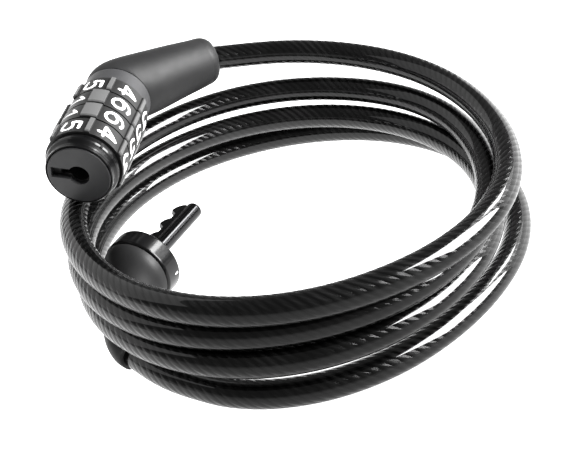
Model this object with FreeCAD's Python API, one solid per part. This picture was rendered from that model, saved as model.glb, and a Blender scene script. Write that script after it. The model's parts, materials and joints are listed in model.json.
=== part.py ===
import FreeCAD, Part
import math
import os

from FreeCAD import Matrix, Placement, Vector

# A coiled combination cable lock, in millimetres, +Z up. The coil lies flat on a surface at
# z = 0, and the origin is on that surface, in the middle of the coil's front side.
# The lock head lies on the coil's left side, and the loose plug lies inside the coil.

# ---- cable -------------------------------------------------------------------------------
CABLE_R = 5.0

# Route of the cable from inside the head's boot to the first turn of the coil.
START_ROUTE = [
    (-21.5, 161.6, 55.4), (2.0, 163.8, 52.8), (22.0, 160.3, 51.1), (40.5, 152.3, 49.5),
    (56.5, 140.3, 48.1), (69.0, 125.0, 46.9), (77.5, 107.5, 45.9),
]
# Route of the cable from the end of the last turn to the plug's boot.
END_ROUTE = [
    (-60.5, 34.2, 6.2), (-54.3, 26.3, 5.8), (-47.0, 19.0, 5.4), (-38.5, 12.8, 5.2),
]

# ---- coil: outer shape of the wound turns ------------------------------------------------
COIL_CENTRE = Vector(0, 77, 0)
COIL_OUTER_CENTRE = Vector(6.5, 80.5, 0)
COIL_OUTER_R = 88.0
COIL_UPPER_CENTRE = Vector(3.0, 77, 0)
COIL_UPPER_OUTER_R = 84.5
COIL_INNER_R = 70.3
COIL_LOW_TOP = 40.2            # top of the coil where only three turns lie on each other
COIL_HIGH_TOP = 46.4           # top where the fourth turn lies on them, at x = 0
COIL_HIGH_SLOPE = 0.0286       # the fourth turn climbs towards +X
COIL_HIGH_FROM = -160.0        # degrees, where the fourth turn is on top
COIL_HIGH_TO = 24.0
COIL_RAISED_FROM = 100.0       # degrees, where the lowest turn leaves the surface
COIL_RAISED_TO = 235.0
COIL_RAISED_BOTTOM = 15.0      # underside of that stretch at y = 0
COIL_RAISED_SLOPE = -0.0443
PLUG_ROOM = 0.8                # space that the turns leave around the plug
BEYOND = 200.0                 # half the size of the blocks that trim the coil

PAST = 1.0                     # cutters reach this far past what they cut

# ---- lock head: local frame, Z from the keyhole face to the boot --------------------------
HEAD_FACE = Vector(-70.2, 77.8, 57.0)
HEAD_Z = Vector(0.2432, 0.9684, 0.0558)
HEAD_UP = Vector(0, 0, 1)

FACE_R = 11.8
FACE_THICK = 2.4
FACE_ROUND = 0.45
KEYHOLE_R = 4.0
KEY_SLOT_W = 4.4
KEY_SLOT_REACH = 10.3
KEY_SLOT_ANGLE = -77.0

COLLAR_R = 13.7
COLLAR_END = 6.3
# The collar's outside and inside as (radius, height), from the face to the dials.
COLLAR_OUTSIDE = [
    (12.0, 0.4), (12.3, 0.2), (12.6, 0.5), (12.65, 1.1), (12.45, 1.8), (12.6, 2.5),
    (13.0, 3.1), (13.45, 3.7), (COLLAR_R, 4.4), (COLLAR_R, 5.9), (13.3, COLLAR_END),
]
COLLAR_INSIDE = [(7.7, COLLAR_END), (7.7, 4.2), (10.6, 4.2), (10.6, 2.9), (12.0, 2.9), (12.0, 0.4)]
MARK_PROUD = 0.05              # how far an index mark stands out of its groove
HEAD_MARK = (1.0, 1.1, 2.6)    # depth, width and length of the bar
HEAD_MARK_START = 3.5
DIAL_START = 6.49
DIAL_PITCH = 9.63
DIAL_COUNT = 4
DIAL_SIDE_GAP = 0.36
FACET_R = 14.6
RIDGE_R = 15.7
DIAL_BORE_R = 11.05
DIAL_CHAMFER = 0.7
DIGIT_COUNT = 6
DIGIT_STEP = 57.2
FACET_HALF = 24.2
RIDGE_RAMP = 1.6
CODE_LINE_ANGLE = 48.3
SHOWN_DIGITS = [4, 6, 6, 4]    # dial_1, next to the boot, to dial_4, next to the keyhole

SPACER_THICK = 0.4
SPACER_R = 13.4
SPACER_PLAY = 0.03
SPINDLE_R = 6.0
SPINDLE_BORE_R = 5.0
SPINDLE_START = 3.0
SPINDLE_END = 49.0
FLANGE_R = 10.6
FLANGE_THICK = 1.15
CORE_R = 4.94
CORE_BORE_R = 3.7
CORE_END = 51.5
CORE_SLOT_W = 2.6
GROOVE_R = 4.3                 # bottom of the groove for the clip
GROOVE_FROM = 49.3
GROOVE_TO = 50.1
CLIP_R = 6.6
CLIP_PLAY = 0.05
CLIP_OPEN_FROM = 60.0
CLIP_OPEN_TO = 100.0
FIN_WINDOW_R = 7.5
FIN_WINDOW_FROM = -95.0
FIN_WINDOW_TO = 31.0
CODE_RING_R = 11.0
CODE_RING_BORE_R = 6.06
CODE_RING_LEN = 7.0
GATE_W = 3.0                   # gate in a code ring for the pin's fin
GATE_REACH = 7.6
WEB_THICK = 2.0                # only this much of a code ring reaches in to the spindle
NOTCH_R = 0.7
DETENT_ANGLE = 150.0
BED_W = 3.0                    # flat along the spindle for the detent strip
BED_R = 5.4                    # distance of that flat from the axis
BED_FROM = 7.5
BED_TO = 45.5
STRIP_W = 2.0
STRIP_R = 5.42
STRIP_THICK = 0.25
STRIP_START = 7.8
STRIP_LEN = 37.4
BUMP_R = 0.42

REAR_START = 45.3
REAR_END = 53.7
REAR_R = 13.6
# The rear collar's section behind the last dial as (radius, height), from its middle out.
REAR_SECTION = [
    (0, REAR_END), (0, 52.4), (7.3, 52.4), (7.3, SPINDLE_END), (SPINDLE_R, SPINDLE_END),
    (SPINDLE_R, 46.5), (11.5, 46.5), (11.5, REAR_START), (13.1, REAR_START), (REAR_R, 45.8),
    (REAR_R, 53.3), (13.2, REAR_END),
]
# The conical washer's section as (radius, height).
WASHER_SECTION = [(6.15, 45.5), (6.15, 45.75), (10.8, 46.2), (10.8, 45.95)]
NECK_R = 9.0
NECK_END = 64.0
FERRULE_R = 7.0
FERRULE_START = 54.3
CABLE_SOCKET = 4.0
CROSS_PIN_R = 1.25
CROSS_PIN_AT = 59.35
CROSS_PIN_SHY = 0.2            # how far a cross pin's ends stay under the surface

BOOT_START = 53.9
BOOT_ELBOW = 58.0              # where the boot's straight cone leaves the head's axis
BOOT_EXIT = Vector(-18.5, 162.3, 55.0)
BOOT_EXIT_DIR = Vector(0.93, 0.35, -0.11)
BOOT_BASE_R = 13.5
# Share of the way from the elbow to the exit, and the radius there.
BOOT_CONE = [(0.22, 13.0), (0.45, 12.1), (0.68, 11.1), (0.86, 10.3)]
BOOT_RIM_SHARE = 0.95
BOOT_RIM_R = 9.4
BOOT_END_R = 6.6

# ---- plug: local frame, Z along the locking pin, origin on the cap's front face -----------
PLUG_FACE = Vector(-54.5, 78.2, 14.6)
PIN_DIR = Vector(0.52, 0.853, -0.01)
FIN_DIR = Vector(-0.797, 0.49, 0.352)
CAP_R = 14.25
CAP_THICK = 8.0
CAP_ROUND = 0.9
PLUG_MARK_ANGLE = 165.0
PLUG_MARK = (1.2, 0.7, 1.6)    # depth, width and length of the bar
PLUG_MARK_START = -3.4
SPIGOT_R = 6.5
SPIGOT_LEN = 7.0
PLUG_PIN_R = 1.0
PIN_R = 3.4
PIN_LEN = 37.0
PIN_TIP_ROUND = 1.6
FIN_W = 2.3
FIN_BASE = 4.7
FIN_ROOT = 3.0
FIN_SHORT = 5.0                # how far the fin ends before the pin's tip
FIN_REACH = 6.7
# Each tooth as (radius, distance from its shoulder towards the tip).
TOOTH_START = (3.9, 6.0)
TOOTH_BEND = (6.0, 2.9)
TOOTH_BACK = (4.6, -1.2)
FIRST_SHOULDER = 0.5
# Distance behind the cap's face and radius of the elbow boot's two straight sections.
PLUG_BOOT_MOUTH = [(8.3, 13.5), (10.2, 13.3)]
# Centre, radius and direction of each section after them.
PLUG_BOOT_ELBOW = [
    ((-61.0, 62.5, 12.0), 9.8, (-0.28, -0.93, -0.24)),
    ((-64.0, 53.0, 8.8), 7.8, (-0.22, -0.95, -0.22)),
    ((-65.0, 43.8, 6.9), 6.6, (0.22, -0.97, -0.1)),
]
PLUG_BOOT_EXIT_R = 6.1
PLUG_BOOT_EXIT_DIR = (0.617, -0.786, -0.04)
PLUG_FERRULE_R = 4.8
PLUG_FERRULE_LEN = 3.0
PLUG_FERRULE_DEPTH = 2.0       # how far inside the boot's exit it ends


# ---- general helpers ----------------------------------------------------------------------
def frame_placement(origin, z_dir, x_hint):
    """Placement of a local frame with its Z along z_dir and its X as near x_hint as it can be."""
    z_axis = Vector(z_dir).normalize()
    x_axis = (x_hint - z_axis * x_hint.dot(z_axis)).normalize()
    y_axis = z_axis.cross(x_axis)
    return Placement(Matrix(
        x_axis.x, y_axis.x, z_axis.x, origin.x,
        x_axis.y, y_axis.y, z_axis.y, origin.y,
        x_axis.z, y_axis.z, z_axis.z, origin.z,
        0, 0, 0, 1))


HEAD_FRAME = frame_placement(HEAD_FACE, HEAD_Z, HEAD_UP)
PLUG_FRAME = frame_placement(PLUG_FACE, PIN_DIR, FIN_DIR)


def placed(shape, placement):
    """A copy of a local shape, moved into the part's frame."""
    moved = shape.copy()
    moved.Placement = placement.multiply(shape.Placement)
    return moved


def polar(radius, degrees, z=0.0):
    """Point at a radius and angle about Z."""
    turn = math.radians(degrees)
    return Vector(radius * math.cos(turn), radius * math.sin(turn), z)


def cylinder(radius, z_from, z_to):
    """Solid cylinder on the local Z axis."""
    return Part.makeCylinder(radius, z_to - z_from, Vector(0, 0, z_from))


def tube(outer_r, inner_r, z_from, z_to):
    """Straight tube on the local Z axis."""
    return cylinder(outer_r, z_from, z_to).cut(cylinder(inner_r, z_from - PAST, z_to + PAST))


def turned(profile):
    """Solid of revolution about local Z from (radius, z) points."""
    points = [Vector(radius, 0, z) for radius, z in profile]
    face = Part.Face(Part.makePolygon(points + points[:1]))
    return face.revolve(Vector(0, 0, 0), Vector(0, 0, 1), 360)


def rounded_disc(radius, z_from, z_to, round_r):
    """Disc whose two rims are rounded."""
    disc = cylinder(radius, z_from, z_to)
    rims = [edge for edge in disc.Edges if isinstance(edge.Curve, Part.Circle)]
    return disc.makeFillet(round_r, rims)


def sector(radius, z_from, z_to, from_deg, to_deg):
    """Wedge of a cylinder between two angles."""
    wedge = Part.makeCylinder(radius, z_to - z_from, Vector(0, 0, z_from), Vector(0, 0, 1),
                              to_deg - from_deg)
    wedge.rotate(Vector(0, 0, 0), Vector(0, 0, 1), from_deg)
    return wedge


def radial_slot(width, reach, z_from, z_to, degrees):
    """Slot from the axis outwards, with a square end."""
    slot = Part.makeBox(reach, width, z_to - z_from, Vector(0, -width / 2, z_from))
    slot.rotate(Vector(0, 0, 0), Vector(0, 0, 1), degrees)
    return slot


def cross_bar(size, centre_r, z_from, degrees):
    """Small bar across a rim: its depth, width and length, and the radius of its inner side."""
    depth, width, length = size
    bar = Part.makeBox(depth, width, length, Vector(centre_r, -width / 2, z_from))
    bar.rotate(Vector(0, 0, 0), Vector(0, 0, 1), degrees)
    return bar


def section_circle(centre, direction, radius):
    """Closed circular wire across a direction, its seam on the upper side."""
    ring = Part.Wire(Part.makeCircle(radius))
    ring.Placement = frame_placement(Vector(*centre), Vector(*direction), Vector(0, 0, 1))
    return ring


# ---- cable ---------------------------------------------------------------------------------
def cable_wire(points):
    """Straight runs joined by tangent arcs, and the radius of each arc."""
    points = [Vector(*point) for point in points]
    edges = []
    radii = []
    here = points[0]
    for before, corner, after in zip(points, points[1:], points[2:]):
        run_in = corner - before
        run_out = after - corner
        half_turn = run_in.getAngle(run_out) / 2
        cut = 0.45 * min(run_in.Length, run_out.Length)
        radius = cut / math.tan(half_turn)
        unit_in = Vector(run_in).normalize()
        unit_out = Vector(run_out).normalize()
        arc_from = corner - unit_in * cut
        arc_to = corner + unit_out * cut
        inward = (unit_out - unit_in).normalize()
        centre = corner + inward * (radius / math.cos(half_turn))
        arc_mid = centre - inward * radius
        edges.append(Part.LineSegment(here, arc_from).toShape())
        edges.append(Part.Arc(arc_from, arc_mid, arc_to).toShape())
        radii.append(radius)
        here = arc_to
    edges.append(Part.LineSegment(here, points[-1]).toShape())
    return Part.Wire(edges), radii


def cable_tube(points, name):
    """Round cable along a route, with its arc radii and its volume printed for checking."""
    path, radii = cable_wire(points)
    first = Vector(*points[0])
    heading = Vector(*points[1]) - first
    solid = path.makePipeShell([section_circle(first, heading, CABLE_R)], True, False)
    ideal = math.pi * CABLE_R ** 2 * path.Length
    print(name, "radii", [round(radius, 1) for radius in radii],
          "length", round(path.Length, 1), "volume ratio", round(solid.Volume / ideal, 4))
    return solid


def coil_prism(outer_centre, outer_r, z_from, z_to):
    """Ring of the coil between two heights."""
    outer = Part.makeCylinder(outer_r, z_to - z_from, outer_centre + Vector(0, 0, z_from))
    inner = Part.makeCylinder(COIL_INNER_R, z_to - z_from + 2 * PAST,
                              COIL_CENTRE + Vector(0, 0, z_from - PAST))
    return outer.cut(inner)


def coil_sector(from_deg, to_deg):
    """Wedge about the coil's centre, wide and high enough to take in the whole ring."""
    wedge = sector(BEYOND, -BEYOND, BEYOND, from_deg, to_deg)
    wedge.translate(COIL_CENTRE)
    return wedge


def block_below(level, slope_x, slope_y):
    """Block under the plane z = level + slope_x x + slope_y y."""
    corners = []
    for x, y in ((-BEYOND, -BEYOND), (BEYOND, -BEYOND), (BEYOND, BEYOND), (-BEYOND, BEYOND)):
        corners.append(Vector(x, y, level + slope_x * x + slope_y * y))
    face = Part.Face(Part.makePolygon(corners + corners[:1]))
    return face.extrude(Vector(0, 0, -BEYOND))


def cable_coil():
    """One closed solid with the outer shape of the wound turns."""
    low = coil_prism(COIL_OUTER_CENTRE, COIL_OUTER_R, 0, COIL_LOW_TOP)
    high = coil_prism(COIL_UPPER_CENTRE, COIL_UPPER_OUTER_R, COIL_LOW_TOP - PAST,
                      COIL_HIGH_TOP + CABLE_R)
    high = high.common(coil_sector(COIL_HIGH_FROM, COIL_HIGH_TO))
    high = high.common(block_below(COIL_HIGH_TOP, COIL_HIGH_SLOPE, 0))
    under = block_below(COIL_RAISED_BOTTOM, 0, COIL_RAISED_SLOPE)
    under = under.common(coil_sector(COIL_RAISED_FROM, COIL_RAISED_TO))
    coil = low.fuse(high).cut(under)
    cap_room = placed(cylinder(CAP_R + PLUG_ROOM, -CAP_THICK - SPIGOT_LEN / 2, PLUG_ROOM),
                      PLUG_FRAME)
    return coil.cut(plug_boot_solid(PLUG_ROOM)).cut(cap_room)


# ---- lock head -----------------------------------------------------------------------------
def fin_window(z_from, z_to):
    """Room for the pin's fin to enter and to turn with the core."""
    return sector(FIN_WINDOW_R, z_from, z_to, FIN_WINDOW_FROM, FIN_WINDOW_TO)


def end_plate():
    """Face of the turning core, with the keyhole."""
    plate = rounded_disc(FACE_R, 0, FACE_THICK, FACE_ROUND)
    hole = cylinder(KEYHOLE_R, -PAST, FACE_THICK + PAST)
    slot = radial_slot(KEY_SLOT_W, KEY_SLOT_REACH, -PAST, FACE_THICK + PAST, KEY_SLOT_ANGLE)
    return plate.cut(hole).cut(slot)


def core_tube():
    """Turning core that guides the locking pin."""
    body = tube(CORE_R, CORE_BORE_R, FACE_THICK, CORE_END)
    slot = radial_slot(CORE_SLOT_W, CORE_R + PAST, FACE_THICK - PAST, REAR_START, KEY_SLOT_ANGLE)
    groove = tube(CORE_R + PAST, GROOVE_R, GROOVE_FROM, GROOVE_TO)
    return body.cut(slot).cut(groove)


def core_clip():
    """Open retaining ring on the tail of the core."""
    ring = tube(CLIP_R, GROOVE_R + CLIP_PLAY, GROOVE_FROM + CLIP_PLAY, GROOVE_TO - CLIP_PLAY)
    return ring.cut(sector(CLIP_R + PAST, GROOVE_FROM, GROOVE_TO, CLIP_OPEN_FROM, CLIP_OPEN_TO))


def head_mark_bar():
    """Bar of the head's index mark, before it is rounded to the collar."""
    inner_r = COLLAR_R + MARK_PROUD * 2 - HEAD_MARK[0] / 2
    return cross_bar(HEAD_MARK, inner_r, HEAD_MARK_START, CODE_LINE_ANGLE)


def front_collar():
    """Fixed front ring with a waist and a bead, around the turning face."""
    return turned(COLLAR_OUTSIDE + COLLAR_INSIDE).cut(head_mark_bar())


def index_mark():
    """Inlay on the front collar that the chosen digits line up with."""
    return head_mark_bar().common(cylinder(COLLAR_R + MARK_PROUD, 0, COLLAR_END))


def spindle_tube():
    """Fixed tube that the dials turn on, with a front flange and a window for the fin."""
    body = tube(SPINDLE_R, SPINDLE_BORE_R, SPINDLE_START, SPINDLE_END)
    flange = tube(FLANGE_R, SPINDLE_BORE_R, SPINDLE_START, SPINDLE_START + FLANGE_THICK)
    window = fin_window(SPINDLE_START - PAST, REAR_START)
    bed = (SPINDLE_R, BED_W, BED_TO - BED_FROM)
    return body.fuse(flange).cut(window).cut(cross_bar(bed, BED_R, BED_FROM, DETENT_ANGLE))


def dial_middle(index):
    """Height of the middle of a dial, counted from the keyhole."""
    return DIAL_START + DIAL_PITCH * (index + 0.5)


def detent_strip():
    """Leaf spring with one bump for each dial."""
    strip = Part.makeBox(STRIP_THICK, STRIP_W, STRIP_LEN,
                         Vector(STRIP_R, -STRIP_W / 2, STRIP_START))
    outer_side = Part.makeBox(BUMP_R, STRIP_W, STRIP_LEN,
                              Vector(STRIP_R, -STRIP_W / 2, STRIP_START))
    for index in range(DIAL_COUNT):
        web = dial_middle(index) - CODE_RING_LEN / 2 + WEB_THICK / 2
        bump_at = Vector(STRIP_R, -STRIP_W / 2, web)
        bump = Part.makeCylinder(BUMP_R, STRIP_W, bump_at, Vector(0, 1, 0))
        strip = strip.fuse(bump.common(outer_side))
    strip.rotate(Vector(0, 0, 0), Vector(0, 0, 1), DETENT_ANGLE)
    return strip


def dial_spacers():
    """Thin discs in front of, between and behind the dials."""
    discs = []
    for index in range(DIAL_COUNT + 1):
        middle = DIAL_START + DIAL_PITCH * index
        low = max(middle - SPACER_THICK / 2, COLLAR_END + SPACER_PLAY)
        high = min(middle + SPACER_THICK / 2, REAR_START - SPACER_PLAY)
        disc = tube(SPACER_R, SPINDLE_R + SPACER_PLAY, low, high)
        discs.append(disc.cut(fin_window(low - PAST, high + PAST)))
    return Part.makeCompound(discs)


def dial_outline():
    """Closed outline of a dial: six facets, narrow ridges and one wide ridge."""
    corners = []
    for digit in range(DIGIT_COUNT):
        middle = -DIGIT_STEP * digit
        corners.append((FACET_R, middle + FACET_HALF))
        corners.append((FACET_R, middle - FACET_HALF))
        next_middle = -DIGIT_STEP * (digit + 1) if digit < DIGIT_COUNT - 1 else -360.0
        corners.append((RIDGE_R, middle - FACET_HALF - RIDGE_RAMP))
        corners.append((RIDGE_R, next_middle + FACET_HALF + RIDGE_RAMP))
    edges = []
    for index in range(0, len(corners), 2):
        radius, start = corners[index]
        end = corners[index + 1][1]
        edges.append(Part.Arc(polar(radius, start), polar(radius, (start + end) / 2),
                              polar(radius, end)).toShape())
        next_radius, next_start = corners[(index + 2) % len(corners)]
        edges.append(Part.LineSegment(polar(radius, end),
                                      polar(next_radius, next_start)).toShape())
    return Part.Wire(edges)


def dial(index):
    """Numbered ring, turned so that its shown digit is on the code line."""
    low = DIAL_START + DIAL_PITCH * index + DIAL_SIDE_GAP
    high = DIAL_START + DIAL_PITCH * (index + 1) - DIAL_SIDE_GAP
    body = Part.Face(dial_outline()).extrude(Vector(0, 0, high - low))
    body.translate(Vector(0, 0, low))
    shoulder_r = RIDGE_R - DIAL_CHAMFER
    barrel = turned([(0, low), (shoulder_r, low), (RIDGE_R, low + DIAL_CHAMFER),
                     (RIDGE_R, high - DIAL_CHAMFER), (shoulder_r, high), (0, high)])
    body = body.common(barrel).cut(cylinder(DIAL_BORE_R, low - PAST, high + PAST))
    shown = SHOWN_DIGITS[DIAL_COUNT - 1 - index]
    body.rotate(Vector(0, 0, 0), Vector(0, 0, 1), CODE_LINE_ANGLE + DIGIT_STEP * (shown - 1))
    return body


def code_ring(index):
    """Inner ring of a dial: a web with a gate for the fin and a notch for each digit's click."""
    low = dial_middle(index) - CODE_RING_LEN / 2
    high = low + CODE_RING_LEN
    ring = tube(CODE_RING_R, CODE_RING_BORE_R, low, high)
    ring = ring.cut(cylinder(GATE_REACH, low + WEB_THICK, high + PAST))
    ring = ring.cut(radial_slot(GATE_W, GATE_REACH, low - PAST, high + PAST, KEY_SLOT_ANGLE))
    for digit in range(DIGIT_COUNT):
        notch_at = polar(CODE_RING_BORE_R, DETENT_ANGLE + DIGIT_STEP * digit, low - PAST)
        ring = ring.cut(Part.makeCylinder(NOTCH_R, CODE_RING_LEN + 2 * PAST, notch_at))
    return ring


def spring_washer():
    """Conical washer that presses the dials together."""
    return turned(WASHER_SECTION)


def rear_collar():
    """Rear housing with a hollow neck that holds the cable's ferrule inside the boot."""
    body = turned(REAR_SECTION)
    body = body.fuse(cylinder(NECK_R, REAR_END - PAST / 2, NECK_END))
    body = body.cut(cylinder(FERRULE_R, FERRULE_START, NECK_END + PAST))
    return body.cut(ferrule_pin())


def ferrule_pin():
    """Pin across the neck, half-way along the ferrule."""
    start = Vector(CROSS_PIN_SHY - NECK_R, 0, CROSS_PIN_AT)
    return Part.makeCylinder(CROSS_PIN_R, 2 * (NECK_R - CROSS_PIN_SHY), start, Vector(1, 0, 0))


def cable_ferrule():
    """Crimped sleeve on the cable's end, with a blind hole for the cable."""
    body = cylinder(FERRULE_R, FERRULE_START, NECK_END)
    body = body.cut(cylinder(CABLE_R, NECK_END - CABLE_SOCKET, NECK_END + PAST))
    return body.cut(ferrule_pin())


def head_boot():
    """Elbow boot of the head: a straight tapered cone that leaves the head at an angle."""
    elbow = HEAD_FRAME.multVec(Vector(0, 0, BOOT_ELBOW))
    cone = BOOT_EXIT - elbow
    cone_dir = Vector(cone).normalize()
    head_dir = Vector(HEAD_Z).normalize()
    exit_dir = Vector(BOOT_EXIT_DIR).normalize()
    base = HEAD_FRAME.multVec(Vector(0, 0, BOOT_START))
    wires = [section_circle(base, head_dir, BOOT_BASE_R),
             section_circle(elbow, head_dir + cone_dir, BOOT_BASE_R)]
    for share, radius in BOOT_CONE:
        wires.append(section_circle(elbow + cone * share, cone_dir, radius))
    body = Part.makeLoft(wires, True, False)
    rim = section_circle(elbow + cone * BOOT_RIM_SHARE, cone_dir * 3 + exit_dir, BOOT_RIM_R)
    end = section_circle(BOOT_EXIT, exit_dir, BOOT_END_R)
    tip = Part.makeLoft([wires[-1], rim, end], True, False)
    pocket = placed(cylinder(NECK_R, BOOT_START - PAST, NECK_END), HEAD_FRAME)
    return body.fuse(tip).cut(pocket)


# ---- plug ----------------------------------------------------------------------------------
def plug_cap():
    """Round cap that closes on the head's face, with a hollow spigot behind."""
    cap = rounded_disc(CAP_R, -CAP_THICK, 0, CAP_ROUND)
    cap = cap.fuse(cylinder(SPIGOT_R, -CAP_THICK - SPIGOT_LEN, -CAP_THICK / 2))
    cap = cap.cut(cylinder(PIN_R, -CAP_THICK - SPIGOT_LEN - PAST, PAST))
    return cap.cut(plug_cross_pin()).cut(plug_mark())


def plug_mark():
    """Index mark let into the cap's rim."""
    bar = cross_bar(PLUG_MARK, CAP_R - PLUG_MARK[0] / 2, PLUG_MARK_START, PLUG_MARK_ANGLE)
    return bar.common(cylinder(CAP_R + MARK_PROUD, -CAP_THICK, 0))


def plug_cross_pin():
    """Pin that locks the locking pin's tail in the spigot."""
    start = Vector(0, CROSS_PIN_SHY - SPIGOT_R, -CAP_THICK - SPIGOT_LEN / 2)
    return Part.makeCylinder(PLUG_PIN_R, 2 * (SPIGOT_R - CROSS_PIN_SHY), start, Vector(0, 1, 0))


def fin_tooth(shoulder):
    """One tooth: it rises in a curve from the tip's side and ends in a steep shoulder."""
    root_back = Vector(FIN_ROOT, 0, shoulder + TOOTH_BACK[1])
    root_start = Vector(FIN_ROOT, 0, shoulder + TOOTH_START[1])
    start = Vector(TOOTH_START[0], 0, shoulder + TOOTH_START[1])
    bend = Vector(TOOTH_BEND[0], 0, shoulder + TOOTH_BEND[1])
    top = Vector(FIN_REACH, 0, shoulder)
    back = Vector(TOOTH_BACK[0], 0, shoulder + TOOTH_BACK[1])
    edges = [Part.LineSegment(root_start, start).toShape(), Part.Arc(start, bend, top).toShape()]
    for one, other in ((top, back), (back, root_back), (root_back, root_start)):
        edges.append(Part.LineSegment(one, other).toShape())
    tooth = Part.Face(Part.Wire(edges)).extrude(Vector(0, FIN_W, 0))
    tooth.translate(Vector(0, -FIN_W / 2, 0))
    return tooth


def locking_pin():
    """Round pin with a thin fin whose teeth catch behind the webs of the code rings."""
    shaft = cylinder(PIN_R, -CAP_THICK - SPIGOT_LEN + PAST / 2, PIN_LEN)
    tip = max((edge for edge in shaft.Edges if isinstance(edge.Curve, Part.Circle)),
              key=lambda edge: edge.Curve.Center.z)
    shaft = shaft.makeFillet(PIN_TIP_ROUND, [tip])
    fin = Part.makeBox(FIN_BASE, FIN_W, PIN_LEN - FIN_SHORT, Vector(0, -FIN_W / 2, 0))
    above_cap = Part.makeBox(2 * FIN_REACH, FIN_W, PIN_LEN, Vector(0, -FIN_W / 2, 0))
    for index in range(DIAL_COUNT):
        tooth = fin_tooth(FIRST_SHOULDER + DIAL_PITCH * index)
        fin = fin.fuse(tooth.common(above_cap))
    return shaft.fuse(fin).cut(plug_cross_pin()).removeSplitter()


def plug_boot_solid(extra):
    """Elbow boot from the cap to the cable, grown by an extra radius."""
    pin_dir = Vector(PIN_DIR).normalize()
    wires = []
    for back, radius in PLUG_BOOT_MOUTH:
        wires.append(section_circle(PLUG_FACE - pin_dir * back, pin_dir * -1, radius + extra))
    for centre, radius, direction in PLUG_BOOT_ELBOW:
        wires.append(section_circle(centre, direction, radius + extra))
    wires.append(section_circle(END_ROUTE[0], PLUG_BOOT_EXIT_DIR, PLUG_BOOT_EXIT_R + extra))
    return Part.makeLoft(wires, True, False)


def plug_boot():
    """Elbow boot with pockets for the spigot and the ferrule."""
    pocket = placed(cylinder(SPIGOT_R, -CAP_THICK - SPIGOT_LEN, 0), PLUG_FRAME)
    return plug_boot_solid(0).cut(pocket).cut(plug_ferrule())


def plug_ferrule():
    """Crimped sleeve on the cable's end, inside the elbow boot."""
    exit_dir = Vector(*PLUG_BOOT_EXIT_DIR).normalize()
    start = Vector(*END_ROUTE[0]) - exit_dir * (PLUG_FERRULE_DEPTH + PLUG_FERRULE_LEN)
    return Part.makeCylinder(PLUG_FERRULE_R, PLUG_FERRULE_LEN, start, exit_dir)


# ---- assembly ------------------------------------------------------------------------------
def build_parts():
    """Every node's shape by name, in the part's frame."""
    head = {
        "end_plate": end_plate(), "core_tube": core_tube(), "core_clip": core_clip(),
        "front_collar": front_collar(), "index_mark": index_mark(),
        "spindle_tube": spindle_tube(), "detent_strip": detent_strip(),
        "dial_spacers": dial_spacers(), "spring_washer": spring_washer(),
        "rear_collar": rear_collar(), "cable_ferrule": cable_ferrule(),
        "ferrule_pin": ferrule_pin(),
    }
    for index in range(DIAL_COUNT):
        number = DIAL_COUNT - index
        head["dial_%d" % number] = dial(index)
        head["code_ring_%d" % number] = code_ring(index)
    plug = {
        "plug_cap": plug_cap(), "locking_pin": locking_pin(), "plug_cross_pin": plug_cross_pin(),
        "plug_mark": plug_mark(),
    }
    parts = {name: placed(shape, HEAD_FRAME) for name, shape in head.items()}
    parts.update({name: placed(shape, PLUG_FRAME) for name, shape in plug.items()})
    coil = cable_coil()
    boot = head_boot()
    elbow = plug_boot()
    parts["head_boot"] = boot
    parts["plug_boot"] = elbow
    parts["plug_ferrule"] = plug_ferrule()
    parts["cable_coil"] = coil
    parts["cable_start"] = cable_tube(START_ROUTE, "cable_start").cut(coil).cut(boot)
    parts["cable_end"] = cable_tube(END_ROUTE, "cable_end").cut(coil).cut(elbow)
    return parts


os.makedirs("parts", exist_ok=True)
for node, shape in build_parts().items():
    print(node, "valid", shape.isValid(), "solids", len(shape.Solids), "volume", round(shape.Volume, 1))
    shape.exportStep("parts/%s.step" % node)
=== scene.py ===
import json
import math

import bmesh
import bpy
from mathutils import Matrix, Vector


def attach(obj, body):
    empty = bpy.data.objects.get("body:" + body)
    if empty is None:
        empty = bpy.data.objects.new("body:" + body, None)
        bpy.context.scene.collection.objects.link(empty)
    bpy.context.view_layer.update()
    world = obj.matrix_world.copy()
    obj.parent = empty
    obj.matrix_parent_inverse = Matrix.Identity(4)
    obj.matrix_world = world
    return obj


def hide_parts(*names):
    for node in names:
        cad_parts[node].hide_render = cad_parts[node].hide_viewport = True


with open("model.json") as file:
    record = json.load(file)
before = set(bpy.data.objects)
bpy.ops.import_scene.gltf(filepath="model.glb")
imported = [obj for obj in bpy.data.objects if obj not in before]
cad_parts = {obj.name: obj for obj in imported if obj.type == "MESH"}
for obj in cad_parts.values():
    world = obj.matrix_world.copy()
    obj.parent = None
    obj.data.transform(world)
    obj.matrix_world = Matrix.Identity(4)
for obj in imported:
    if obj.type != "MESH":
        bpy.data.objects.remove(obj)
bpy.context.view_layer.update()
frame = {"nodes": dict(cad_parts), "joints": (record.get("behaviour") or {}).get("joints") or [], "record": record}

MM = 0.001

# ---- cable route, in millimetres, as in the part -------------------------------------------
CABLE_R = 5.0
START_ROUTE = [
    (-21.5, 161.6, 55.4), (2.0, 163.8, 52.8), (22.0, 160.3, 51.1), (40.5, 152.3, 49.5),
    (56.5, 140.3, 48.1), (69.0, 125.0, 46.9), (77.5, 107.5, 45.9),
]
END_ROUTE = [
    (-60.5, 34.2, 6.2), (-54.3, 26.3, 5.8), (-47.0, 19.0, 5.4), (-38.5, 12.8, 5.2),
]
# Each turn of the coil has its own size and place: (turns from the start, radius, centre x, y).
COIL_ROWS = [(0.0, 89.0, -4.0, 74.5), (1.0, 75.5, 0.5, 83.0), (2.0, 77.5, 0.0, 74.5),
             (3.0, 80.5, 3.5, 78.5), (3.45, 91.5, 0.5, 92.5), (3.69, 69.0, 3.5, 67.5)]
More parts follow.
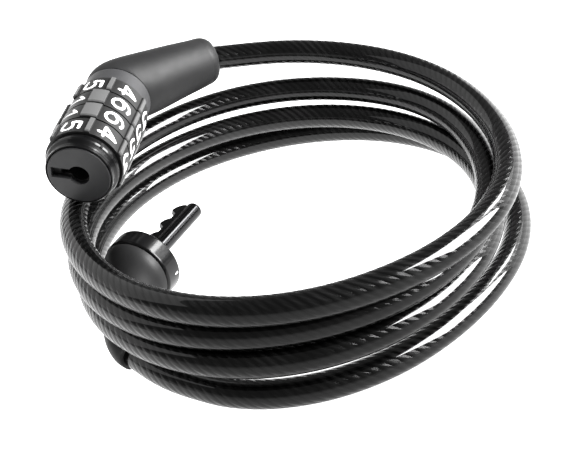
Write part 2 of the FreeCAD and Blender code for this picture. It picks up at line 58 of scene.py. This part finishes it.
# Where a turn bulges out or in: (turns from the start, half its reach in turns, how far).
COIL_BULGES = [(0.39, 0.13, 2.6), (0.83, 0.09, 1.4), (1.23, 0.11, 2.2), (1.43, 0.2, 3.0),
               (2.44, 0.2, -2.8), (3.44, 0.1, -2.2)]
COIL_START_ANGLE = 112.0
COIL_FIRST = 0.29
COIL_LAST = 3.63
COIL_POINTS_PER_TURN = 24
COIL_TOTAL = 3.686             # turns from the boot to the plug
TURN_RISE = 10.3               # how far each turn lies above the one under it
LOWEST_RISE = 14.5             # the same for the lowest turn, whose end is on the surface
LOWEST_RISE_POWER = 1.4
START_LIFT = 10.0              # the cable joins the coil from above and is down on it
START_LIFT_END = 0.36          # after this many turns
TUBE_SIDES = 40
SPAN_STEPS = 6                 # steps of the smooth line between two control points
STRANDS = 10                   # strands of the rope, and the length of one turn of them
STRAND_LAY = 0.034
WIRES = 26                     # fine lines over the strands, and the length of one turn of them
WIRE_LAY = 0.055
WIRE_DEPTH = 0.08              # against the strands' depth

PIN_DIR = (0.52, 0.853, -0.01)     # direction of the locking pin

# ---- lock head ---------------------------------------------------------------------------
CODE_LINE_ANGLE = 48.3
DIGIT_STEP = 57.2
DIGIT_COUNT = 6
SHOWN_DIGITS = {1: 4, 2: 6, 3: 6, 4: 4}
FACET_R = 14.6
RIDGE_R = 15.7
DIAL_SIDE_R = 13.0             # within this radius a dial's side is painted black, as shade between the dials
DIGIT_H = 8.5
DIGIT_W = 5.2
DIGIT_STROKE = 1.18
DIGIT_RAISE = 0.07
RIBBON_STEP = 0.6              # longest piece of a digit's stroke
PATCH_SIDES = 12
CURVE_STEPS = 6
# Strokes of each digit, 0 to 1 across and up. A curved stroke is marked True.
DIGIT_STROKES = {
    1: [(False, [(0.15, 0.72), (0.6, 1.0), (0.6, 0.0)])],
    2: [(True, [(0.05, 0.74), (0.2, 0.95), (0.5, 1.0), (0.85, 0.93), (0.92, 0.7), (0.7, 0.42),
                (0.0, 0.0)]), (False, [(0.0, 0.0), (1.0, 0.0)])],
    3: [(True, [(0.05, 0.85), (0.3, 1.0), (0.7, 1.0), (0.9, 0.8), (0.75, 0.58), (0.4, 0.53)]),
        (True, [(0.4, 0.53), (0.8, 0.5), (1.0, 0.28), (0.8, 0.03), (0.4, 0.0), (0.0, 0.14)])],
    4: [(False, [(0.72, 0.0), (0.72, 1.0), (0.0, 0.28), (1.0, 0.28)])],
    5: [(False, [(0.92, 1.0), (0.18, 1.0), (0.08, 0.52)]),
        (True, [(0.08, 0.52), (0.5, 0.64), (0.9, 0.54), (1.0, 0.3), (0.8, 0.04), (0.4, 0.0),
                (0.0, 0.12)])],
    6: [(True, [(0.88, 0.92), (0.55, 1.0), (0.18, 0.85), (0.0, 0.5), (0.05, 0.2), (0.3, 0.0),
                (0.7, 0.0), (0.97, 0.2), (0.93, 0.48), (0.65, 0.62), (0.3, 0.58), (0.04, 0.4)])],
}


def smooth_step(x):
    """0 to 1 with level ends."""
    x = min(max(x, 0.0), 1.0)
    return x * x * (3 - 2 * x)


def coil_row(turn):
    """Radius and centre of the coil after a number of turns."""
    rows = COIL_ROWS
    low = max(i for i in range(len(rows) - 1) if rows[i][0] <= turn)
    share = smooth_step((turn - rows[low][0]) / (rows[low + 1][0] - rows[low][0]))
    return [a + (b - a) * share for a, b in zip(rows[low][1:], rows[low + 1][1:])]


def coil_point(turn):
    """Point of the wound cable, in millimetres, after a number of turns."""
    radius, centre_x, centre_y = coil_row(turn)
    for place, reach, out in COIL_BULGES:
        radius += out * smooth_step(1 - abs(turn - place) / reach)
    angle = math.radians(COIL_START_ANGLE - 360 * turn)
    left = COIL_TOTAL - turn
    height = CABLE_R + LOWEST_RISE * min(left, 1) ** LOWEST_RISE_POWER
    height += TURN_RISE * max(left - 1, 0)
    height += START_LIFT * max(1 - turn / START_LIFT_END, 0) ** 2
    return (centre_x + radius * math.cos(angle), centre_y + radius * math.sin(angle), height)


def route_points():
    """Control points of the whole cable, in metres."""
    points = list(START_ROUTE)
    count = round((COIL_LAST - COIL_FIRST) * COIL_POINTS_PER_TURN)
    for i in range(count + 1):
        points.append(coil_point(COIL_FIRST + (COIL_LAST - COIL_FIRST) * i / count))
    points += reversed(END_ROUTE)
    return [Vector(p) * MM for p in points]


def spline_line(points, per_span):
    """Points along the smooth line that the control points give."""
    data = bpy.data.curves.new("route", "CURVE")
    data.dimensions = "3D"
    spline = data.splines.new("NURBS")
    spline.points.add(len(points) - 1)
    for point, place in zip(spline.points, points):
        point.co = (*place, 1.0)
    spline.order_u = 3
    spline.use_endpoint_u = True
    spline.resolution_u = per_span
    data.resolution_u = per_span
    holder = bpy.data.objects.new("route", data)
    bpy.context.scene.collection.objects.link(holder)
    bpy.context.view_layer.update()
    mesh = bpy.data.meshes.new_from_object(holder)
    line = [v.co.copy() for v in mesh.vertices]
    bpy.data.objects.remove(holder)
    bpy.data.curves.remove(data)
    bpy.data.meshes.remove(mesh)
    return line


def moving_frames(line):
    """Tangent, side and up at each point, with no twist from one to the next."""
    tangents = []
    for i in range(len(line)):
        ahead = line[min(i + 1, len(line) - 1)]
        behind = line[max(i - 1, 0)]
        tangents.append((ahead - behind).normalized())
    side = tangents[0].cross(Vector((0, 0, 1))).normalized()
    frames = []
    for tangent in tangents:
        side = (side - tangent * side.dot(tangent)).normalized()
        frames.append((tangent, side, tangent.cross(side)))
    return frames


def new_object(name, mesh):
    """Mesh object in the scene."""
    obj = bpy.data.objects.new(name, mesh)
    bpy.context.scene.collection.objects.link(obj)
    return obj


def tube_mesh(name, line, radius, sides):
    """Round tube along a line. Its UV is (metres along, share of a turn around)."""
    frames = moving_frames(line)
    run = [0.0]
    for a, b in zip(line, line[1:]):
        run.append(run[-1] + (b - a).length)
    verts = []
    for place, (tangent, side, up) in zip(line, frames):
        for k in range(sides):
            turn = math.tau * k / sides
            verts.append(place + (side * math.cos(turn) + up * math.sin(turn)) * radius)
    faces = []
    uvs = []
    for i in range(len(line) - 1):
        for k in range(sides):
            k2 = (k + 1) % sides
            faces.append((i * sides + k, i * sides + k2, (i + 1) * sides + k2, (i + 1) * sides + k))
            uvs.append([(run[i], k / sides), (run[i], (k + 1) / sides),
                        (run[i + 1], (k + 1) / sides), (run[i + 1], k / sides)])
    last = (len(line) - 1) * sides
    faces.append(tuple(reversed(range(sides))))
    uvs.append([(0.0, 0.0)] * sides)
    faces.append(tuple(last + k for k in range(sides)))
    uvs.append([(run[-1], 0.0)] * sides)
    mesh = bpy.data.meshes.new(name)
    mesh.from_pydata(verts, [], faces)
    layer = mesh.uv_layers.new(name="UVMap")
    for face, corners in zip(mesh.polygons, uvs):
        for loop, uv in zip(face.loop_indices, corners):
            layer.data[loop].uv = uv
        face.use_smooth = len(face.vertices) == 4
    mesh.update()
    return mesh


# ---- materials -----------------------------------------------------------------------------
FINE_GRAIN = 2600.0            # scales of the noise: the larger, the finer
COARSE_GRAIN = 900.0
GLOSS_CLOUDS = 240.0
SHADE_CLOUDS = 70.0
JACKET_CLOUDS = 60.0
GRAIN_STRENGTH = 0.25
GRAIN_DEPTH = 0.00003          # depths in metres
STRAND_DEPTH = 0.0006


class Nodes:
    """A new material with a Principled shader, and short calls to add nodes to it."""

    def __init__(self, name, colour, roughness, metallic=0.0, coat=0.0, coat_roughness=0.05,
                 specular=0.5):
        self.material = bpy.data.materials.new(name)
        self.material.use_nodes = True
        self.tree = self.material.node_tree
        self.shader = self.tree.nodes["Principled BSDF"]
        self.set("Base Color", (*colour, 1.0))
        self.set("Roughness", roughness)
        self.set("Metallic", metallic)
        self.set("Coat Weight", coat)
        self.set("Coat Roughness", coat_roughness)
        self.set("Specular IOR Level", specular)

    def set(self, socket, value):
        """Give a socket of the shader a value."""
        self.shader.inputs[socket].default_value = value

    def link(self, output, socket):
        """Feed a socket of the shader from a node."""
        self.tree.links.new(output, self.shader.inputs[socket])

    def add(self, kind, **values):
        """New node of a kind, with some of its properties."""
        node = self.tree.nodes.new(kind)
        for key, value in values.items():
            setattr(node, key, value)
        return node

    def object_place(self):
        """Place on the object."""
        return self.add("ShaderNodeTexCoord").outputs["Object"]

    def split(self, vector):
        """Outputs X, Y and Z of a vector."""
        node = self.add("ShaderNodeSeparateXYZ")
        self.tree.links.new(vector, node.inputs[0])
        return node.outputs

    def math(self, operation, a, b=None, c=None):
        """Result of a sum, in which each input is a number or a node's output."""
        node = self.add("ShaderNodeMath", operation=operation)
        for socket, value in zip(node.inputs, (a, b, c)):
            if value is None:
                continue
            if isinstance(value, (int, float)):
                socket.default_value = value
            else:
                self.tree.links.new(value, socket)
        return node.outputs[0]

    def vector(self, operation, a, b=None, output="Vector"):
        """Result of a vector sum, in which each input is a Vector or a node's output."""
        node = self.add("ShaderNodeVectorMath", operation=operation)
        for socket, value in zip(node.inputs, (a, b)):
            if isinstance(value, Vector):
                socket.default_value = value
            elif value is not None:
                self.tree.links.new(value, socket)
        return node.outputs[output]

    def noise(self, scale, detail):
        """Cloudy factor over the object."""
        node = self.add("ShaderNodeTexNoise")
        node.inputs["Scale"].default_value = scale
        node.inputs["Detail"].default_value = detail
        self.tree.links.new(self.object_place(), node.inputs["Vector"])
        return node.outputs["Fac"]

    def ramp(self, factor, stops):
        """Colour from a factor through stops of a position and a grey or a colour."""
        node = self.add("ShaderNodeValToRGB")
        self.tree.links.new(factor, node.inputs["Fac"])
        elements = node.color_ramp.elements
        while len(elements) < len(stops):
            elements.new(0.5)
        for element, (position, value) in zip(elements, stops):
            element.position = position
            colour = value if isinstance(value, tuple) else (value, value, value)
            element.color = (*colour, 1.0)
        return node.outputs["Color"]

    def bump(self, height, strength, distance):
        """Relief from a height over the surface."""
        node = self.add("ShaderNodeBump")
        node.inputs["Strength"].default_value = strength
        node.inputs["Distance"].default_value = distance
        self.tree.links.new(height, node.inputs["Height"])
        self.link(node.outputs["Normal"], "Normal")


def jacket_material():
    """Glossy clear black jacket over the twisted strands of a steel rope."""
    nodes = Nodes("jacket", (0.003, 0.003, 0.003), 0.3, coat=0.45, coat_roughness=0.012,
                  specular=0.06)
    nodes.set("Coat IOR", 1.5)
    uv = nodes.split(nodes.add("ShaderNodeUVMap", uv_map="UVMap").outputs["UV"])
    along = uv["X"]
    around = uv["Y"]
    lay = nodes.math("MULTIPLY", along, STRANDS / STRAND_LAY)
    phase = nodes.math("MULTIPLY_ADD", around, -STRANDS, lay)
    hump = nodes.math("SINE", nodes.math("MULTIPLY", nodes.math("FRACT", phase), math.pi))
    wire_lay = nodes.math("MULTIPLY", along, WIRES / WIRE_LAY)
    wire_phase = nodes.math("MULTIPLY_ADD", around, -WIRES, wire_lay)
    wires = nodes.math("SINE", nodes.math("MULTIPLY", wire_phase, math.tau))
    height = nodes.math("MULTIPLY_ADD", wires, WIRE_DEPTH, hump)
    cloud = nodes.noise(JACKET_CLOUDS, 4.0)
    shade = nodes.math("MULTIPLY", height, cloud)
    nodes.link(nodes.ramp(shade, [(0.1, 0.0003), (0.4, 0.0014), (0.65, 0.005)]), "Base Color")
    nodes.link(nodes.ramp(cloud, [(0.3, 0.14), (0.7, 0.24)]), "Roughness")
    nodes.bump(height, 0.36, STRAND_DEPTH)
    facing = nodes.add("ShaderNodeLayerWeight").outputs["Facing"]
    nodes.link(nodes.ramp(facing, [(0.55, 0.55), (0.85, 0.2), (1.0, 0.04)]), "Coat Weight")
    return nodes.material


def pin_material():
    """Black plated pin, turned, so that its highlight spreads along it."""
    nodes = Nodes("pin_black", (0.03, 0.03, 0.031), 0.16, metallic=1.0)
    nodes.set("Anisotropic", 0.85)
    along = nodes.add("ShaderNodeCombineXYZ")
    for socket, value in zip(along.inputs, PIN_DIR):
        socket.default_value = value
    nodes.link(along.outputs[0], "Tangent")
    nodes.bump(nodes.noise(COARSE_GRAIN, 2.0), 0.1, GRAIN_DEPTH)
    return nodes.material


def grained(name, colour, roughness, grain=FINE_GRAIN, spread=0.12, **shader):
    """Moulded or painted surface: fine grain, and slow changes of colour and gloss."""
    nodes = Nodes(name, colour, roughness, **shader)
    slow = nodes.noise(SHADE_CLOUDS, 4.0)
    low = tuple(c * (1 - spread) for c in colour)
    high = tuple(c * (1 + spread) for c in colour)
    nodes.link(nodes.ramp(slow, [(0.3, low), (0.7, high)]), "Base Color")
    gloss = nodes.noise(GLOSS_CLOUDS, 3.0)
    nodes.link(nodes.ramp(gloss, [(0.3, roughness * 0.9), (0.7, roughness * 1.12)]), "Roughness")
    nodes.bump(nodes.noise(grain, 2.0), GRAIN_STRENGTH, GRAIN_DEPTH)
    return nodes.material


def dial_material():
    """Satin dial; its raised blocks are paler than its facets as a painted highlight of the light from above, and
    its sides are black as painted shade in the gaps between the dials.
    """
    nodes = Nodes("dial", (0.01, 0.01, 0.01), 0.4, specular=0.35)
    out = head_axes()[0]
    middle = Vector(frame["joints"][0]["pos_m"])
    offset = nodes.vector("SUBTRACT", nodes.object_place(), middle)
    radius = nodes.vector("LENGTH", nodes.vector("CROSS_PRODUCT", offset, out), output="Value")
    height = nodes.math("MULTIPLY_ADD", radius, 1 / MM, -DIAL_SIDE_R)
    share = nodes.math("DIVIDE", height, RIDGE_R - DIAL_SIDE_R)
    facet = (FACET_R - DIAL_SIDE_R) / (RIDGE_R - DIAL_SIDE_R)
    # Painted light: black sides for the shade between the dials, pale raised blocks for the highlight of the light
    # from above.
    nodes.link(nodes.ramp(share, [(0.0, 0.001), (facet - 0.05, 0.006), (facet + 0.2, 0.007),
                                  (facet + 0.3, 0.065)]), "Base Color")
    nodes.bump(nodes.noise(FINE_GRAIN, 2.0), GRAIN_STRENGTH, GRAIN_DEPTH)
    return nodes.material


def make_materials():
    """Material of each slot by name."""
    return {
        "jacket": jacket_material(),
        "head_black": grained("head_black", (0.001, 0.001, 0.0011), 0.3, coat=0.25,
                              coat_roughness=0.1, specular=0.12),
        "face_grey": grained("face_grey", (0.022, 0.022, 0.023), 0.45, specular=0.35),
        "boot_rubber": grained("boot_rubber", (0.0085, 0.0085, 0.0087), 0.5, grain=1800.0,
                               specular=0.16),
        "dial": dial_material(),
        "mark_white": grained("mark_white", (0.75, 0.75, 0.75), 0.5, spread=0.03, specular=0.3),
        "mark_black": grained("mark_black", (0.001, 0.001, 0.001), 0.5, specular=0.2),
        "steel": grained("steel", (0.2, 0.2, 0.2), 0.3, metallic=1.0, grain=COARSE_GRAIN),
        "spring_steel": grained("spring_steel", (0.15, 0.15, 0.16), 0.3, metallic=1.0),
        "pin_black": pin_material(),
        "zinc": grained("zinc", (0.06, 0.06, 0.06), 0.45, metallic=0.8),
        "washer_black": grained("washer_black", (0.0008, 0.0008, 0.0008), 0.6, specular=0.2),
    }


def dress_cad_nodes(materials):
    """Give every CAD node the material of its slot."""
    for entry in frame["record"]["subparts"]:
        obj = frame["nodes"][entry["node"]]
        obj.data.materials.clear()
        obj.data.materials.append(materials[entry["material_slot"]])


# ---- cable ----------------------------------------------------------------------------------
def make_cable(materials):
    """The whole cable as one tube along its smooth line."""
    line = spline_line(route_points(), SPAN_STEPS)
    cable = new_object("cable", tube_mesh("cable", line, CABLE_R * MM, TUBE_SIDES))
    cable.data.materials.append(materials["jacket"])
    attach(cable, "housing")
    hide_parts("cable_start", "cable_coil", "cable_end")


# ---- digits ---------------------------------------------------------------------------------
def smooth_stroke(points):
    """Points along a smooth curve through the given points."""
    ends = [points[0] * 2 - points[1]] + points + [points[-1] * 2 - points[-2]]
    line = []
    for a, b, c, d in zip(ends, ends[1:], ends[2:], ends[3:]):
        for k in range(CURVE_STEPS):
            t = k / CURVE_STEPS
            line.append(0.5 * (b * 2 + (c - a) * t + (a * 2 - b * 5 + c * 4 - d) * t ** 2
                               + (b * 3 - a - c * 3 + d) * t ** 3))
    return line + [points[-1]]


def add_ribbon(work, line, width, low, high):
    """Flat bar of a width along a line, with a round patch at each of its points."""
    for a, b in zip(line, line[1:]):
        pieces = max(1, round((b - a).length / RIBBON_STEP))
        side = (b - a).orthogonal().normalized() * width / 2
        rows = []
        for k in range(pieces + 1):
            spot = a.lerp(b, k / pieces)
            rows.append([work.verts.new((*(spot + side * sign), level))
                         for sign in (-1, 1) for level in (low, high)])
        for one, other in zip(rows, rows[1:]):
            work.faces.new((one[1], other[1], other[3], one[3]))
            work.faces.new((one[0], other[0], other[1], one[1]))
            work.faces.new((one[2], one[3], other[3], other[2]))
    for spot in line:
        ring = []
        for k in range(PATCH_SIDES):
            turn = math.tau * k / PATCH_SIDES
            ring.append(work.verts.new((spot.x + math.cos(turn) * width / 2,
                                        spot.y + math.sin(turn) * width / 2, high)))
        work.faces.new(ring)


def glyph(digit):
    """Raised flat digit, centred, in millimetres."""
    work = bmesh.new()
    for curved, shares in DIGIT_STROKES[digit]:
        points = [Vector(((x - 0.5) * DIGIT_W, (y - 0.5) * (DIGIT_H - DIGIT_STROKE)))
                  for x, y in shares]
        line = smooth_stroke(points) if curved else points
        add_ribbon(work, line, DIGIT_STROKE, -DIGIT_RAISE / 2, DIGIT_RAISE / 2)
    return work


def head_axes():
    """Axis towards the keyhole, and the two directions across it that angles start from."""
    out = Vector(frame["joints"][0]["axis"]).normalized()
    up = Vector((0, 0, 1))
    first = (up - out * up.dot(out)).normalized()
    return out, first, first.cross(out)


def make_digits(materials):
    """Printed digits of each dial, wrapped on its facets."""
    out, first, second = head_axes()
    joints = {joint["child"]: joint for joint in frame["joints"]}
    for number, shown in SHOWN_DIGITS.items():
        body = "dial_%d" % number
        centre = Vector(joints[body]["pos_m"]) / MM
        whole = bmesh.new()
        for digit in range(1, DIGIT_COUNT + 1):
            at = math.radians(CODE_LINE_ANGLE + DIGIT_STEP * (shown - digit))
            work = glyph(digit)
            for v in work.verts:
                angle = at + v.co.y / FACET_R
                radius = FACET_R + DIGIT_RAISE / 2 + v.co.z
                across = first * math.cos(angle) + second * math.sin(angle)
                v.co = (centre + out * v.co.x + across * radius) * MM
            part = bpy.data.meshes.new("digit")
            work.to_mesh(part)
            work.free()
            whole.from_mesh(part)
            bpy.data.meshes.remove(part)
        mesh = bpy.data.meshes.new("digits_%d" % number)
        whole.to_mesh(mesh)
        whole.free()
        obj = new_object("digits_%d" % number, mesh)
        obj.data.materials.append(materials["mark_white"])
        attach(obj, body)


# ---- stage, light and camera ------------------------------------------------------------------
FLOOR_HALF = 6.0
FLOOR_GLOW = {"From Min": -0.03, "From Max": 0.06, "To Min": 0.97, "To Max": 2.4}
GLOW_LEAN = -0.3               # how much the glow's place moves back for each step to the right
LIT_POINT = Vector((0.0, 0.077, 0.03))     # middle of the coil, which the lights face
# Name, azimuth and elevation in degrees, distance, size, radiance.
SOFT_BOXES = [
    ("key", -12, 37, 0.75, (0.46, 0.54), 48.0),
    ("right_back", 26, 38, 0.8, (0.3, 0.42), 4.0),
    ("right_small", 27, 40, 0.8, (0.15, 0.17), 42.0),
    ("right_low", 32, 8, 0.45, (0.5, 0.26), 2.2),
    ("left_broad", 150, 35, 0.9, (1.2, 0.8), 1.2),
]
CAMERA_PLACE = (2.06, -252.1, 239.3)
CAMERA_TILT = 33.71            # below level, in degrees
CAMERA_ROLL = 10.54
CAMERA_LENS = 64.24
SENSOR_WIDTH = 36.0


def make_floor():
    """Plain floor that gives its own even light, and more of it behind the coil's front side."""
    mesh = bpy.data.meshes.new("floor")
    signs = ((-1, -1), (1, -1), (1, 1), (-1, 1))
    mesh.from_pydata([(x * FLOOR_HALF, y * FLOOR_HALF, 0) for x, y in signs], [], [(0, 1, 2, 3)])
    floor = new_object("floor", mesh)
    nodes = Nodes("floor", (0.04, 0.04, 0.04), 0.7, specular=0.1)
    nodes.set("Emission Color", (1.0, 1.0, 1.0, 1.0))
    place = nodes.split(nodes.object_place())
    back_left = nodes.math("MULTIPLY_ADD", place["X"], GLOW_LEAN, place["Y"])
    climb = nodes.add("ShaderNodeMapRange", interpolation_type="SMOOTHSTEP")
    nodes.tree.links.new(back_left, climb.inputs["Value"])
    for socket, value in FLOOR_GLOW.items():
        climb.inputs[socket].default_value = value
    nodes.link(climb.outputs["Result"], "Emission Strength")
    floor.data.materials.append(nodes.material)


def softbox(name, azimuth, elevation, distance, size, radiance):
    """Rectangular area light that faces the coil, seen from it at an azimuth and elevation."""
    data = bpy.data.lights.new(name, "AREA")
    data.shape = "RECTANGLE"
    data.size, data.size_y = size
    data.energy = radiance * math.pi * size[0] * size[1]
    lamp = bpy.data.objects.new(name, data)
    bpy.context.scene.collection.objects.link(lamp)
    turn = math.radians(azimuth)
    rise = math.radians(elevation)
    way = Vector((math.cos(rise) * math.cos(turn), math.cos(rise) * math.sin(turn),
                  math.sin(rise)))
    lamp.location = LIT_POINT + way * distance
    lamp.rotation_euler = (-way).to_track_quat("-Z", "Y").to_euler()


def make_world():
    """Even room: bright at the horizon, dim overhead."""
    world = bpy.data.worlds.new("room")
    bpy.context.scene.world = world
    world.use_nodes = True
    tree = world.node_tree
    background = tree.nodes["Background"]
    place = tree.nodes.new("ShaderNodeTexCoord")
    split = tree.nodes.new("ShaderNodeSeparateXYZ")
    ramp = tree.nodes.new("ShaderNodeValToRGB")
    tree.links.new(place.outputs["Generated"], split.inputs[0])
    tree.links.new(split.outputs["Z"], ramp.inputs["Fac"])
    tree.links.new(ramp.outputs["Color"], background.inputs["Color"])
    ramp.color_ramp.elements[0].position = 0.05
    ramp.color_ramp.elements[0].color = (1.0, 1.0, 1.0, 1.0)
    ramp.color_ramp.elements[1].position = 0.3
    ramp.color_ramp.elements[1].color = (0.25, 0.25, 0.25, 1.0)


def make_lights():
    """Dim room and soft boxes: a crisp key at the right, and broad dim ones around."""
    make_world()
    for box in SOFT_BOXES:
        softbox(*box)


def make_camera():
    """Camera at the view that the object is shown from."""
    data = bpy.data.cameras.new("camera")
    data.lens = CAMERA_LENS
    data.sensor_width = SENSOR_WIDTH
    data.clip_start = 0.01
    camera = bpy.data.objects.new("camera", data)
    bpy.context.scene.collection.objects.link(camera)
    tilt = math.radians(CAMERA_TILT)
    roll = math.radians(CAMERA_ROLL)
    ahead = Vector((0, math.cos(tilt), -math.sin(tilt)))
    level_up = Vector((0, math.sin(tilt), math.cos(tilt)))
    level_right = Vector((1, 0, 0))
    right = level_right * math.cos(roll) - level_up * math.sin(roll)
    up = level_right * math.sin(roll) + level_up * math.cos(roll)
    turn = Matrix((right, up, -ahead)).transposed()
    camera.matrix_world = Matrix.Translation(Vector(CAMERA_PLACE) * MM) @ turn.to_4x4()
    bpy.context.scene.camera = camera


def build():
    """The whole scene."""
    bpy.context.scene.view_settings.view_transform = "Standard"
    materials = make_materials()
    dress_cad_nodes(materials)
    make_cable(materials)
    make_digits(materials)
    make_floor()
    make_lights()
    make_camera()


build()
